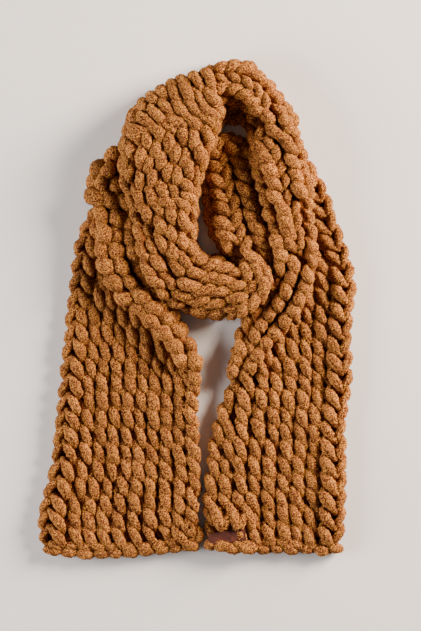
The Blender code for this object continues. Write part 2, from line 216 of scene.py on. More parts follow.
STRETCHES = (
    Stretch(
        name="left_tail", columns=11, count_from=CountFrom.OUTER_EDGE, stitch=Stitch.OPEN,
        even=(0.0, 0.44), edges=(9, 9), radius=5.9, looseness=1.3, lean=0.82, braids=(0,),
        sections=sections_of(
            (-203, -302, 3, -294, 18, -9.7), (-207, -270, 3, -267, 18, -4), (-202, -240, 5, -240, 18),
            (-192, -205, 5, -205, 18), (-187, -168, 3, -168, 18), (-184, -129, 3, -129, 18),
            (-180, -93, 2, -94, 18), (-177, -54, -16, -57, 18), (-174, -15, -36, -23, 18),
            (-168, 24, -59, 15, 19), (-163, 60, -75, 45, 19), (-157, 92, -85, 73, 20),
            (-146, 120, -90, 99, 20), (-133, 141, -94, 123, 19),
        ),
        folds=(
            Fold(0.93, 0.05, 6, 1),
            Fold(0.83, 0.03, -4, 0),
            Fold(0.12, 0.06, 3, 2),
        ),
    ),
    Stretch(
        name="right_tail", columns=10, count_from=CountFrom.OUTER_EDGE, stitch=Stitch.OPEN,
        even=(0.84, 1.0), edges=(9, 12), insets=(8.5, EDGE_INSET), radius=6.1, looseness=1.3,
        lean=0.85, braids=(0,),
        sections=sections_of(
            (135, 209, 94, 185, 18), (150, 196, 99, 164, 20), (167, 170, 107, 136, 20),
            (179, 140, 116, 105, 20), (189, 110, 123, 76, 20), (200, 79, 123, 45, 20),
            (206, 46, 111, 16, 20), (207, 14, 93, -10, 20), (206, -23, 76, -36, 20),
            (205, -59, 59, -64, 19), (205, -94, 40, -97, 19), (201, -129, 25, -132, 19),
            (200, -166, 16, -168, 18), (197, -202, 12, -205, 18), (197, -237, 7, -239, 18),
            (198, -270, 6, -266, 18, 2), (194, -300, 11, -296, 18, 4),
        ),
        folds=(
            Fold(0.12, 0.09, 3, 5),
            Fold(0.27, 0.05, 0, -4),
            Fold(0.53, 0.1, -13, 3),
            Fold(0.78, 0.08, 6, 1),
        ),
    ),
    Stretch(
        name="left_fold", columns=5, count_from=CountFrom.OUTER_EDGE, pitch=(16.5, 19.5),
        edges=(10, 16), insets=(2, -3), radius=7.3, looseness=1.3, lean=0.8, course=22, plumpness=2.3,
        depth=1.9, closed=(End.START,), rests_on=("left_tail",),
        sections=sections_of(
            (-19, -98, 3, -93, 22), (-28, -67, 2, -63, 28), (-45, -41, -7, -36, 33),
            (-63, -20, -19, -14, 35), (-86, 3, -36, 7, 36), (-110, 27, -53, 28, 37),
            (-124, 55, -67, 53, 37), (-131, 86, -77, 79, 36), (-133, 115, -80, 105, 36),
            (-138, 144, -80, 133, 36), (-138, 170, -78, 158, 33), (-127, 192, -70, 179, 29),
            (-102, 209, -57, 190, 25),
        ),
    ),
    Stretch(
        name="under_layers", columns=8, pitch=(17, 17), edges=(16, 14), insets=(2, 2),
        sections=sections_of(
            (-102, 209, -57, 190, 25), (-76, 238, -46, 177, 25), (-40, 262, -31, 168, 25),
            (-6, 285, -14, 180, 24), (20, 292, 2, 209, 22), (34, 291, 22, 228, 21),
            (45, 289, 39, 242, 20), (60, 285, 62, 243, 19), (76, 279, 70, 226, 18),
        ),
    ),
    Stretch(
        name="inner_strand", columns=5, even=(0.15, 0.75), edges=(20, 22), insets=(2, 3), radius=7.0,
        looseness=1.3, course=20, braids=(2,),
        sections=sections_of(
            (30, 230, 5, 186, 20), (61, 223, 6, 172, 24), (75, 196, 4, 156, 27),
            (81, 164, 10, 134, 31), (89, 135, 14, 110, 35), (96, 105, 21, 94, 39),
            (99, 79, 34, 78, 43), (102, 55, 49, 65, 46),
        ),
    ),
    Stretch(
        name="right_strand", columns=7, pitch=(18, 15.5), edges=(13, 24), insets=(3, -2), radius=6.8,
        looseness=1.2, lean=0.85, course=17.5, plumpness=1.5, depth=1.4, braids=(4,),
        rests_on=("right_tail", "inner_strand"),
        sections=sections_of(
            (125, 258, 68, 227, 50), (137, 211, 72, 196, 52), (146, 170, 79, 163, 52),
            (151, 133, 86, 131, 51), (154, 94, 96, 102, 50), (155, 60, 102, 73, 46),
            (149, 27, 99, 43, 42), (135, -3, 83, 13, 38), (117, -25, 64, -11, 34),
            (99, -46, 52, -34, 31), (85, -67, 49, -54, 28), (70, -93, 44, -80, 24),
        ),
    ),
    Stretch(
        name="top_arch", columns=5, even=(0.2, 1.0), edges=(22, 13), insets=(8, 3), radius=6.8,
        looseness=1.2, lean=0.85, course=18, plumpness=1.3, depth=1.2, braids=(2,),
        rests_on=("under_layers",),
        sections=sections_of(
            (-2, 306, 2, 262, 31), (12, 313, 12, 268, 34), (28, 320, 25, 267, 45),
            (58, 323, 45, 267, 50), (86, 309, 60, 261, 51), (108, 283, 68, 246, 50),
            (125, 258, 68, 227, 50),
        ),
    ),
    Stretch(
        name="left_strand", columns=12, pitch=(15.5, 15.5), edges=(38, 20), insets=(1, 4), radius=6.5,
        looseness=1.15, lean=0.9, course=23.5, foot_sink=5, closed=(End.FINISH,),
        rests_on=("under_layers", "left_tail", "left_fold", "inner_strand", "top_arch"),
        sections=sections_of(
            (-37, 10, 2, 79, 49), (-62, 36, -1, 93, 51), (-75, 73, 1, 115, 54), (-84, 122, 1, 140, 58),
            (-93, 151, 3, 164, 62), (-99, 174, 12, 189, 65), (-99, 192, 21, 214, 66),
            (-98, 210, 29, 237, 65), (-96, 228, 33, 262, 62, 2), (-92, 240, 29, 288, 57, 5),
            (-87, 247, 25, 307, 50, 7), (-84, 251, 23, 318, 40, 8),
        ),
    ),
    Stretch(
        name="front_loop", columns=9, pitch=(15.5, 15.5), edges=(32, 20), insets=(3, 4), radius=6.4,
        looseness=1.3, course=22, foot_sink=4,
        rests_on=("right_tail", "right_strand", "left_tail", "left_fold"),
        sections=sections_of(
            (102, 55, 49, 65, 46), (97, 25, 57, 55, 47), (76, -1, 54, 57, 48), (53, -10, 44, 63, 48),
            (20, -10, 27, 72, 47), (-9, -4, 11, 72, 47), (-37, 10, 2, 79, 49),
        ),
    ),
)


@dataclass(frozen=True)
class Handwork:
    """How one stitch differs from the next, and which stitches are painted lighter as if in sunlight. Tones
    run from 0, dark, to 1, light.
    """

    across: float = 0.035
    along: float = 0.03
    lift: float = 0.7
    fullness: float = 0.07
    column: float = 0.02
    sideways: float = 0.06
    lengthways: float = 0.10
    tone: float = 0.47
    tone_spread: float = 0.13
    # painted sunlight: a random share of stitches is made this much lighter in tone, as patches of sun
    painted_sunlight: float = 0.3
    painted_sunlight_share: float = 0.1
    most_wander: float = 2.0
    braid_spread: float = 1.5
    front_from: float = -1.0
    front_reach: float = 3.0
    front_lift: float = 3.0
    deepest: float = -6.0
    hidden_points: int = 2


def linear(hex_colour: str) -> tuple:
    """Turns an sRGB hex colour into linear RGBA."""
    parts = [int(hex_colour[place : place + 2], 16) / 255 for place in (1, 3, 5)]
    return (*(part / 12.92 if part <= 0.04045 else ((part + 0.055) / 1.055) ** 2.4 for part in parts), 1.0)


def blend(before: Array, start: Array, end: Array, after: Array, share: float) -> Array:
    """Catmull-Rom spline from start to end.

    Args:
        before, start, end, after: four rows of numbers that follow each other.
        share: how far from start to end, from 0 to 1.

    Returns:
        The row of numbers there.
    """
    tangent_in = (end - before) / 2
    tangent_out = (after - start) / 2
    squared = share * share
    cubed = squared * share
    return (
        start * (2 * cubed - 3 * squared + 1)
        + tangent_in * (cubed - 2 * squared + share)
        + end * (3 * squared - 2 * cubed)
        + tangent_out * (cubed - squared)
    )


def line_across(values: Array) -> tuple:
    """How a section lies.

    Args:
        values: its numbers.

    Returns:
        Its outer end, its width, and the unit vectors across it and ahead.
    """
    outer, inner = values[:2], values[2:4]
    width = float(np.linalg.norm(inner - outer))
    across = (inner - outer) / width
    return outer, width, across, np.array([-across[1], across[0]])


def quarter_round(distance: Array, radius: float) -> Array:
    """0 on an edge, 1 from radius inwards, with a round shoulder between them."""
    short = 1 - np.clip(distance / radius, 0, 1)
    return np.sqrt(1 - short * short)


def running_length(points: Array) -> Array:
    """Length along a line of points up to each of them."""
    steps = np.linalg.norm(np.diff(points, axis=0), axis=1)
    return np.concatenate([[0.0], np.cumsum(steps)])


def unit(vectors: Array) -> Array:
    """Vectors along the last axis, brought to length 1."""
    return vectors / np.maximum(np.linalg.norm(vectors, axis=-1, keepdims=True), LEAST_LENGTH)


def partway(start: tuple, end: tuple, share: Array) -> tuple:
    """Points and normals between two such pairs, or a little past them."""
    kept = np.clip(share, 0, 1)
    return start[0] + (end[0] - start[0]) * share, start[1] * (1 - kept) + end[1] * kept


def add_object(name: str, data: object) -> Object:
    """Adds an object at the origin.

    Args:
        name: its name.
        data: its mesh, light or camera.

    Returns:
        The object.
    """
    made = bpy.data.objects.new(name, data)
    bpy.context.scene.collection.objects.link(made)
    return made


def knit_piece(node_name: str, mesh: bpy.types.Mesh) -> Object:
    """Adds a knitted piece to the scarf's body and hides the solid that it stands for.

    Args:
        node_name: the solid that it stands for.
        mesh: its mesh.

    Returns:
        The piece.
    """
    piece = add_object(mesh.name, mesh)
    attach(piece, BODY)
    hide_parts(node_name)
    return piece


class ClothSurface:
    """The middle surface of the knitted cloth on one stretch, in millimetres.

    A place on it is a length along the band and a stitch column, and a lift off the surface.
    """

    def __init__(self, stretch: Stretch, margin: float) -> None:
        """Reads the stretch's table and the underside of its solid.

        Args:
            stretch: the stretch of the band.
            margin: how far inside the solid's outline the cloth ends, in millimetres.
        """
        self.stretch = stretch
        self.margin = margin
        self.outwards = stretch.count_from is CountFrom.INNER_EDGE
        self.last = stretch.columns - 1
        self.follower = 0 if self.outwards else self.last
        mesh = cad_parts[stretch.name].data
        corners = [vertex.co / MM for vertex in mesh.vertices]
        self.solid = BVHTree.FromPolygons(corners, [tuple(face.vertices) for face in mesh.polygons])
        self.table = [np.array(astuple(section)) for section in stretch.sections]
        final = len(self.table) - 1
        lines = [self.profile(self.row_values(row), row / final) for row in self.spread_rows()]
        self.widths = np.array([running_length(line)[-1] for line in lines])
        self.grid = np.array([self.evenly(line) for line in lines])
        for end in stretch.closed:
            self.close(end)
        self.along = running_length(self.grid[:, ACROSS_SAMPLES // 2])
        self.normals = unit(np.cross(np.gradient(self.grid, axis=1), np.gradient(self.grid, axis=0)))

    def row_values(self, row: float) -> Array:
        """Reads between the rows of the table.

        Args:
            row: a fractional row.

        Returns:
            A section's numbers there.
        """
        start = min(int(row), len(self.table) - 2)
        picked = (max(start - 1, 0), start, start + 1, min(start + 2, len(self.table) - 1))
        return blend(*(self.table[index] for index in picked), row - start)

    def spread_rows(self) -> list:
        """Spreads stations along the middle of the stretch.

        Returns:
            Fractional rows of the table, about STATION_STEP apart.
        """
        rows = []
        for row, (here, there) in enumerate(zip(self.table, self.table[1:])):
            middle = (there[:2] + there[2:4] - here[:2] - here[2:4]) / 2
            count = max(1, round(float(np.linalg.norm(middle)) / STATION_STEP))
            rows += [row + part / count for part in range(count)]
        return rows + [len(self.table) - 1]

    def underside(self, place: Array) -> float:
        """Height of the solid's underside over a place on the floor."""
        hit = self.solid.ray_cast(Vector((place[0], place[1], FAR_BELOW)), Vector(UPRIGHT))[0]
        return max(hit.z, 0.0) if hit is not None else 0.0

    def profile(self, values: Array, progress: float) -> Array:
        """The line of the middle surface across the stretch, from the outer edge to the inner one.

        Args:
            values: a section's numbers.
            progress: place along the stretch, from 0 to 1.

        Returns:
            An array of points.
        """
        stretch = self.stretch
        crown, bow = values[4:]
        outer, width, across, ahead = line_across(values)
        margin = min(self.margin, WIDEST_MARGIN * width)
        rounds = [max(edge - CLOTH_HALF, LEAST_EDGE) for edge in stretch.edges]
        share = np.linspace(0, 1, 2 * ACROSS_SAMPLES)
        distance = share * (width - 2 * margin)
        whole_share = (distance + margin) / width
        plan = outer + np.outer(distance + margin, across)
        plan = plan + np.outer(bow * 4 * whole_share * (1 - whole_share), ahead)
        base = np.array([self.underside(place) for place in plan])
        peak = crown + sum(fold.height(whole_share, progress) for fold in stretch.folds)
        side = base + SIDE_SHARE * np.maximum(crown - base, THINNEST)
        rounding = quarter_round(distance, rounds[0]) * quarter_round(distance[-1] - distance, rounds[1])
        low = np.maximum(np.minimum(base, crown - 2 * CLOTH_HALF) + CLOTH_HALF, side - CLOTH_HALF)
        high = np.maximum(peak - CLOTH_HALF, low)
        line = np.column_stack([plan, low + (high - low) * rounding])
        feet = line[[0, -1]]
        sunk = base[[0, -1]] + stretch.radius - stretch.foot_sink
        feet[:, 2] = np.minimum(sunk, line[[0, -1], 2] - FOOT_GAP)
        return np.concatenate([feet[:1], line, feet[1:]])

    def close(self, end: End) -> None:
        """Turns the cloth down to what is under it, as where it folds over.

        Args:
            end: the end that turns down.
        """
        starts = end is End.START
        last, before, kept = (0, 1, slice(1, None)) if starts else (-1, -2, slice(None, -1))
        self.grid, self.widths = self.grid[kept], self.widths[kept]
        line = self.grid[last]
        ahead = unit(line[:, :2] - self.grid[before][:, :2])
        foot = np.array([self.underside(place) for place in line])
        foot = np.minimum(foot + self.stretch.radius - self.stretch.foot_sink, line[:, 2])
        rows = []
        for angle in map(math.radians, END_STEPS):
            plan = line[:, :2] + ahead * END_ROUND * math.sin(angle)
            rows.append(np.column_stack([plan, foot + (line[:, 2] - foot) * math.cos(angle)]))
        self.grid = np.array([*rows[::-1], *self.grid] if starts else [*self.grid, *rows])
        self.widths = np.pad(self.widths, (len(rows), 0) if starts else (0, len(rows)), mode="edge")

    @staticmethod
    def evenly(line: Array) -> Array:
        """Spreads points evenly along a line.

        Args:
            line: the line's own points.

        Returns:
            ACROSS_SAMPLES points on it.
        """
        length = running_length(line)
        places = np.linspace(0, length[-1], ACROSS_SAMPLES)
        return np.column_stack([np.interp(places, length, line[:, axis]) for axis in range(3)])

    def pitch(self, station: Array) -> Array:
        """Width of a stitch column.

        Args:
            station: some stations.

        Returns:
            The widths there, in millimetres.
        """
        final = len(self.widths) - 1
        if self.stretch.even:
            first, past = (round(share * final) for share in self.stretch.even)
            return (self.widths[np.clip(station, first, past)] - sum(self.stretch.insets)) / self.last
        start, end = self.stretch.pitch
        return start + (end - start) * station / final

    def distance(self, station: Array, column: int, across: Array) -> Array:
        """Length across the cloth from its outer edge to a place in a column.

        The column on the edge that the count ends at follows that edge.

        Args:
            station: the stations.
            column: the stitch column.
            across: the place, in widths from the column's middle.

        Returns:
            The lengths in millimetres.
        """
        pitch = self.pitch(station)
        outer = self.stretch.insets[0]
        inner = self.widths[station] - self.stretch.insets[1]
        if self.outwards:
            middle = outer if column == self.follower else inner - (self.last - column) * pitch
        else:
            middle = inner if column == self.follower else outer + column * pitch
        return middle + across * pitch

    def station(self, along: float) -> int:
        """The first station past a length along the band."""
        return min(int(np.searchsorted(self.along, along)), len(self.along) - 1)

    def crowding(self, along: float, column: int) -> float:
        """How far a column moves so that the last few share what room is left.

        Args:
            along: length along the band, in millimetres.
            column: the stitch column.

        Returns:
            The move, in widths.
        """
        if column == self.follower:
            return 0.0
        station = self.station(along)
        free = self.widths[station] - sum(self.stretch.insets)
        room = float(free / self.pitch(np.array([station]))[0])
        number = self.last - column if self.outwards else column
        final = min(math.ceil(room - LEAST_PITCH) - 1, self.last - 1)
        weight = max(0.0, 1 - (final - number + 1) / SPREAD_OVER)
        return (room - final - 1) * weight * (-1 if self.outwards else 1)

    def on_station(self, station: Array, distance: Array) -> tuple:
        """Points on the surface at whole stations.

        Args:
            station: the stations.
            distance: the lengths across from the outer edge.

        Returns:
            The points and the normals there.
        """
        place = distance / self.widths[station] * (ACROSS_SAMPLES - 1)
        index = np.clip(np.floor(place).astype(int), 0, ACROSS_SAMPLES - 2)
        ends = [(self.grid[station, at], self.normals[station, at]) for at in (index, index + 1)]
        return partway(*ends, (place - index)[:, None])

    def place(self, along: Array, measure: Callable, lift: Array) -> tuple:
        """Points off the surface.

        Args:
            along: lengths along the band, in millimetres from the start of the stretch.
            measure: gives the length across the cloth at stations.
            lift: heights off the surface, in millimetres.

        Returns:
            An array of points in millimetres and one of the cloth's normals there.
        """
        station = np.searchsorted(self.along, along, side="right") - 1
        station = np.clip(station, 0, len(self.along) - 2)
        gap = self.along[station + 1] - self.along[station]
        share = np.clip((along - self.along[station]) / gap, -OVERSHOOT, 1 + OVERSHOOT)[:, None]
        ends = [self.on_station(at, measure(at)) for at in (station, station + 1)]
        points, normals = partway(*ends, share)
        normals = unit(normals)
        return points + normals * lift[:, None], normals

    def shows(self, along: float, column: int) -> bool:
        """Whether the cloth is wide enough for a column.

        Args:
            along: length along the band, in millimetres.
            column: the stitch column.

        Returns:
            True where the column has room.
        """
        if column == self.follower:
            return True
        station = np.array([self.station(along)])
        place = float(self.distance(station, column, np.zeros(1))[0])
        free = LEAST_PITCH * float(self.pitch(station)[0])
        if self.outwards:
            return place > free + self.stretch.insets[0]
        return place < float(self.widths[station[0]]) - free - self.stretch.insets[1]

    def column_length(self, column: int) -> Array:
        """Measures along one column.

        Args:
            column: the stitch column.

        Returns:
            The lengths up to each station.
        """
        stations = np.arange(len(self.along))
        found = np.clip(self.distance(stations, column, np.zeros(len(stations))), 0, self.widths)
        index = np.clip((found / self.widths * (ACROSS_SAMPLES - 1)).astype(int), 0, ACROSS_SAMPLES - 1)
        return running_length(self.grid[stations, index])


# A run of yarn has one row for each point: its place in millimetres, the way that the cloth's face
# looks there, and the yarn's fullness, tone and lift.
PLACE, FACING = slice(0, 3), slice(3, 6)
NUMBERS = {"fullness": 6, "tone": 7, "lift": 8}


@dataclass
class Drift:
    """A slow, smooth wander over the cloth, as where hands have pulled it a little out of square."""

    random: np.random.Generator
    size: float
    waves: int = 5
    longest: float = 14.0
    shortest: float = 4.0

    def __post_init__(self) -> None:
        """Draws the waves."""
        spans = self.random.uniform(self.shortest, self.longest, (self.waves, 2))
        self.turns = math.tau / spans * self.random.choice([-1, 1], (self.waves, 2))
        self.phases = self.random.uniform(0, math.tau, self.waves)

    def at(self, column: float, row: float) -> float:
        """The drift at a stitch."""
        angles = self.turns[:, 0] * column + self.turns[:, 1] * row + self.phases
        return float(np.sin(angles).sum()) * self.size / math.sqrt(self.waves)


class Knitting:
    """Lays the yarn of one stretch, stitch by stitch, in rows that run across the band."""

    def __init__(self, surface: ClothSurface, seed: int) -> None:
        """Counts the stitches.

        Args:
            surface: the cloth's middle surface.
            seed: seed of the stitches' small differences.
        """
        self.surface = surface
        self.stretch = surface.stretch
        self.hand = Handwork()
        self.random = np.random.default_rng(seed)
        if surface.outwards:
            self.lengths = [surface.column_length(column) for column in range(self.stretch.columns)]
        else:
            self.lengths = [surface.along] * self.stretch.columns
        self.totals = np.array([length[-1] for length in self.lengths])
        self.counts = np.maximum(1, np.round(self.totals / self.stretch.course)).astype(int)
        self.sideways = Drift(self.random, self.hand.sideways)
        self.lengthways = Drift(self.random, self.hand.lengthways)

    def row_start(self, column: int, row: float) -> float:
        """Length along the band where a row starts in a column."""
        length = row / self.counts[column] * self.totals[column]
        return float(np.interp(length, self.lengths[column], self.surface.along))

    def fits(self, column: int, row: int) -> bool:
        """Whether a column has room on the cloth at a row."""
        return row < self.counts[column] and self.surface.shows(self.row_start(column, row + 0.5), column)

    def braided(self, column: int, row: int) -> bool:
        """Whether a braid starts in a column at a row, and takes the next column too."""
        return column in self.stretch.braids and self.fits(column, row) and self.fits(column + 1, row)

    def stitch(self, column: int, row: int, braid: bool) -> Array:
        """The run of one stitch's yarn.

        Args:
            column: the stitch's column.
            row: the stitch's row in that column.
            braid: whether it is one of a braid's stitches, two columns wide.

        Returns:
            The run.
        """
        hand, stretch = self.hand, self.stretch
        wander = self.random.normal(0, 1, 6) * stretch.looseness
        shape = Stitch.BRAID if braid else stretch.stitch
        across, along, lift, fullness = np.array(shape.value).T
        if braid:
            across = across * hand.braid_spread + 0.5
        else:
            across = np.where(across < 0.5, across * stretch.lean, across)
        front = np.clip((lift - hand.front_from) / hand.front_reach, 0, 1)
        across = across + front * hand.across * wander[0]
        along = along + front * hand.along * wander[1]
        lift = lift + front * hand.lift * wander[2]
        lift = np.maximum(hand.front_lift - (hand.front_lift - lift) * stretch.depth, hand.deepest)
        fatter = np.clip(wander[3], -hand.most_wander, hand.most_wander)
        fullness = fullness**stretch.plumpness * (1 + hand.fullness * fatter)
        start, end = self.row_start(column, row), self.row_start(column, row + 1)
        places = start + (along + self.lengthways.at(column, row)) * (end - start)
        across = across + hand.column * wander[4] + self.sideways.at(column, row)
        across = across + self.surface.crowding((start + end) / 2, column)
        points, up = self.surface.place(
            places, lambda station: self.surface.distance(station, column, across), lift
        )
        points[:, 2] = np.maximum(points[:, 2], stretch.radius * fullness + PILE_ROOM)
        tone = hand.tone + hand.tone_spread * wander[5] / stretch.looseness
        # painted sunlight: now and then a stitch is painted lighter, as if lit by the sun
        tone += hand.painted_sunlight if self.random.random() < hand.painted_sunlight_share else 0
        return np.column_stack([points, up, fullness, np.full(len(lift), tone), lift])

    def rows(self) -> list:
        """Works every row from the outer edge to the inner one.

        Returns:
            One run of yarn for each row.
        """
        runs = []
        for row in range(int(self.counts.max())):
            held = [
                column
                for column in range(self.stretch.columns)
                if self.fits(column, row) and not self.braided(column - 1, row)
            ]
            if held:
                worked = [self.stitch(column, row, self.braided(column, row)) for column in held]
                runs.append(np.concatenate(worked)[: -self.hand.hidden_points])
        return runs


def node(tree: NodeTree, kind: str, **given: object) -> Node:
    """Adds a node with its settings and what feeds it.

    Args:
        tree: the node tree.
        kind: the node's type.
        given: its settings first, in small letters, and then what feeds its inputs, by name with
            _ for a space, or n0, n1 by number: a value, a socket, or a node for its first output.

    Returns:
        The node.
    """
    made = tree.nodes.new(kind)
    for name, value in given.items():
        number = name[1:].isdigit()
        if name.islower() and not number:
            setattr(made, name, value)
            continue
        socket = made.inputs[int(name[1:]) if number else name.replace("_", " ")]
        source = value.outputs[0] if isinstance(value, Node) else value
        if isinstance(source, NodeSocket):
            tree.links.new(source, socket)
        else:
            socket.default_value = source
    return made


@dataclass
class ChenilleYarn:
    """Polyester chenille yarn: a soft round tube whose short cut pile stands out all round."""

    dye_and_shade: Material
    ring_step: float = 2.3
    sides: int = 14
    pile_depth: float = 6.4
    pile_size: float = 3.2
    pile_detail: float = 1.0

    def __post_init__(self) -> None:
        """Builds its node tree."""
        self.group = self.tree()

    def tree(self) -> NodeTree:
        """Builds the nodes that sweep the yarn along its path and roughen its pile.

        Returns:
            The node tree.
        """
        tree = bpy.data.node_groups.new("chenille yarn", "GeometryNodeTree")
        for name, kind in (
            ("Geometry", "Geometry"), ("Radius", "Float"), ("Ring step", "Float"), ("Sides", "Int"),
            ("Pile depth", "Float"), ("Pile size", "Float"), ("Seed", "Float"), ("Material", "Material"),
        ):
            tree.interface.new_socket(name, in_out="INPUT", socket_type="NodeSocket" + kind)
        tree.interface.new_socket("Geometry", in_out="OUTPUT", socket_type="NodeSocketGeometry")
        add = partial(node, tree)
        math_node = partial(add, "ShaderNodeMath")
        vector_node = partial(add, "ShaderNodeVectorMath")
        read = partial(add, "GeometryNodeInputNamedAttribute")
        store = partial(add, "GeometryNodeStoreNamedAttribute")
        given = add("NodeGroupInput").outputs
        place = add("GeometryNodeInputPosition")
        fullness, lift = read(Name="fullness"), read(Name="lift")
        middle, up = (read(data_type="FLOAT_VECTOR", Name=name) for name in ("middle", "up"))
        curve = add("GeometryNodeMeshToCurve", Mesh=given["Geometry"])
        curve = add("GeometryNodeCurveSplineType", spline_type="CATMULL_ROM", Curve=curve)
        curve = add("GeometryNodeResampleCurve", mode="LENGTH", Curve=curve, Length=given["Ring step"])
        curve = store(data_type="FLOAT_VECTOR", domain="POINT", Geometry=curve, Name="middle", Value=place)
        ring = add("GeometryNodeCurvePrimitiveCircle", Resolution=given["Sides"], Radius=given["Radius"])
        tube = add("GeometryNodeCurveToMesh", Curve=curve, Profile_Curve=ring, Scale=fullness, Fill_Caps=True)
        fineness = math_node(operation="DIVIDE", n0=1.0, n1=given["Pile size"])
        noise = add(
            "ShaderNodeTexNoise", noise_dimensions="4D",
            Vector=place, W=given["Seed"], Scale=fineness, Detail=self.pile_detail,
        )
        height = math_node(operation="SUBTRACT", n0=noise, n1=NOISE_MIDDLE)
        height = math_node(operation="MULTIPLY", n0=height, n1=given["Pile depth"])
        offset = vector_node(operation="SCALE", n0=add("GeometryNodeInputNormal"), Scale=height)
        rough = add("GeometryNodeSetPosition", Geometry=tube, Offset=offset)
        spoke = vector_node(operation="SUBTRACT", n0=place, n1=middle)
        rise = vector_node(operation="DOT_PRODUCT", n0=spoke, n1=up).outputs["Value"]
        rise = math_node(operation="ADD", n0=math_node(operation="DIVIDE", n0=rise, n1=MM), n1=lift)
        # height of the yarn's face over the cloth's middle, in millimetres, which the chenille's painted
        # shade in the hollows reads
        made = store(data_type="FLOAT", domain="POINT", Geometry=rough, Name="height", Value=rise)
        made = add("GeometryNodeSetShadeSmooth", Geometry=made)
        made = add("GeometryNodeRealizeInstances", Geometry=made)
        made = add("GeometryNodeSetMaterial", Geometry=made, Material=given["Material"])
        add("NodeGroupOutput", Geometry=made)
        return tree

    def sweep(self, name: str, runs: list, radius: float, seed: int) -> Object:
        """Args:
            name: the name of the solid that it stands for.
            runs: the runs of yarn.
            radius: the yarn's radius in millimetres.
            seed: the pile's seed.

        Returns:
            The piece, with no modifier left on it.
        """
        table = np.concatenate(runs)
        ends = set(np.cumsum([len(run) for run in runs]).tolist())
        edges = [(index - 1, index) for index in range(1, len(table)) if index not in ends]
        guide = bpy.data.meshes.new(name + "_path")
        guide.from_pydata((table[:, PLACE] * MM).tolist(), edges, [])
        for label, column in NUMBERS.items():
            kept = guide.attributes.new(label, "FLOAT", "POINT").data
            kept.foreach_set("value", table[:, column].astype(np.float32))
        kept = guide.attributes.new("up", "FLOAT_VECTOR", "POINT").data
        kept.foreach_set("vector", table[:, FACING].astype(np.float32).ravel())
        holder = add_object(name + "_path", guide)
        modifier = holder.modifiers.new("yarn", "NODES")
        modifier.node_group = self.group
        sizes = {
            "Radius": radius * MM,
            "Ring step": self.ring_step * MM,
            "Sides": self.sides,
            "Pile depth": self.pile_depth * MM,
            "Pile size": self.pile_size * MM,
            "Seed": float(seed),
            "Material": self.dye_and_shade,
        }
        for item in self.group.interface.items_tree:
            if item.in_out == "INPUT" and item.name in sizes:
                modifier[item.identifier] = sizes[item.name]
        graph = bpy.context.evaluated_depsgraph_get()
        mesh = bpy.data.meshes.new_from_object(holder.evaluated_get(graph), depsgraph=graph)
        mesh.name = name + "_stitches"
        bpy.data.objects.remove(holder, do_unlink=True)
        bpy.data.meshes.remove(guide)
        return knit_piece(name, mesh)


def new_material(name: str, **values: object) -> tuple:
    """Starts a material.

    Args:
        name: its name.
        values: what the shader's own inputs hold, by name with _ for a space.

    Returns:
        The material, its node tree and the shader's inputs.
    """
    made = bpy.data.materials.new(name)
    made.use_nodes = True
    inputs = made.node_tree.nodes["Principled BSDF"].inputs
    for key, value in values.items():
        inputs[key.replace("_", " ")].default_value = value
    return made, made.node_tree, inputs


def set_stops(ramp: Node, stops: tuple) -> NodeSocket:
    """Gives a colour ramp its stops.

    Args:
        ramp: the ramp's node.
        stops: a place and a hex colour for each.

    Returns:
        The ramp's colour.
    """
    elements = ramp.color_ramp.elements
    for place, _ in stops[1:-1]:
        elements.new(place)
    for element, (place, colour) in zip(elements, stops):
        element.position = place
        element.color = linear(colour)
    return ramp.outputs[0]


